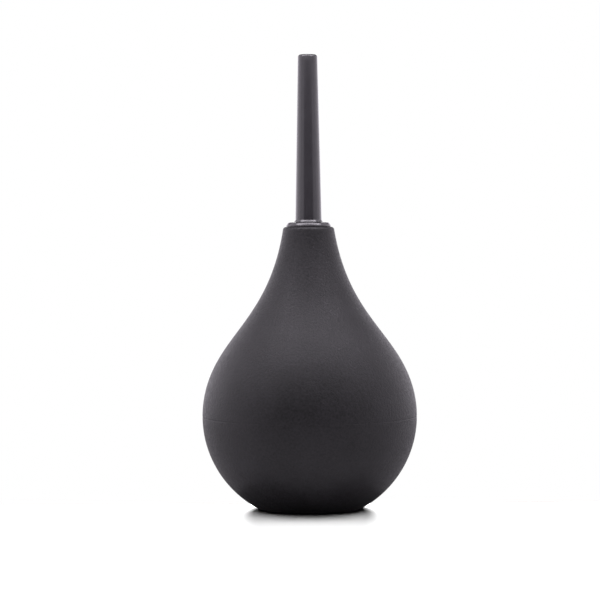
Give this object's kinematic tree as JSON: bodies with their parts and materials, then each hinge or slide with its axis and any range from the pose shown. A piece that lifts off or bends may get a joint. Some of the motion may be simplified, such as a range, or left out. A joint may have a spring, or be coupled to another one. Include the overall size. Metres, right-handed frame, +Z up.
{
  "type": "dust blower bulb",
  "caption": "Onion-shaped soft squeeze bulb with a flat base and a long slender tapered air nozzle that screws into a hard collar in its neck.",
  "frame": {"origin": "middle of the flat base, on the surface that the bulb stands on", "axes": "+Z up along the common axis of bulb, collar and nozzle, towards the nozzle's tip; +X and +Y are free, because the outside is round"},
  "size_m": [0.08, 0.08, 0.169],
  "materials": {
    "bulb_rubber": "matte soft-touch charcoal, fine even grain",
    "collar_plastic": "smooth moulded charcoal, glossy on its rounded edge",
    "seal_rubber": "black, dull",
    "nozzle_plastic": "satin moulded charcoal"
  },
  "bodies": {
    "bulb": {"bulb": "bulb_rubber"},
    "neck": {"neck_socket": "collar_plastic"},
    "seal": {"nozzle_seal": "seal_rubber"},
    "nozzle": {"nozzle": "nozzle_plastic"}
  },
  "joints": [
    {"name": "bulb_press", "type": "slide", "parent": "bulb", "child": "neck", "axis": [0, 0, 1], "range_m": [-0.03, 0], "stiffness_N_per_m": 800, "deforming": ["bulb"]},
    {"name": "nozzle_lift", "type": "slide", "parent": "neck", "child": "seal", "axis": [0, 0, 1], "range_m": [0, 0.0125]},
    {"name": "nozzle_turn", "type": "hinge", "parent": "seal", "child": "nozzle", "pos_m": [0, 0, 0.1069], "axis": [0, 0, 1], "range_deg": [0, 1800]}
  ],
  "couplings": [
    {"joint": "nozzle_turn", "follows": "nozzle_lift", "rad_per_m": 2513.3}
  ]
}
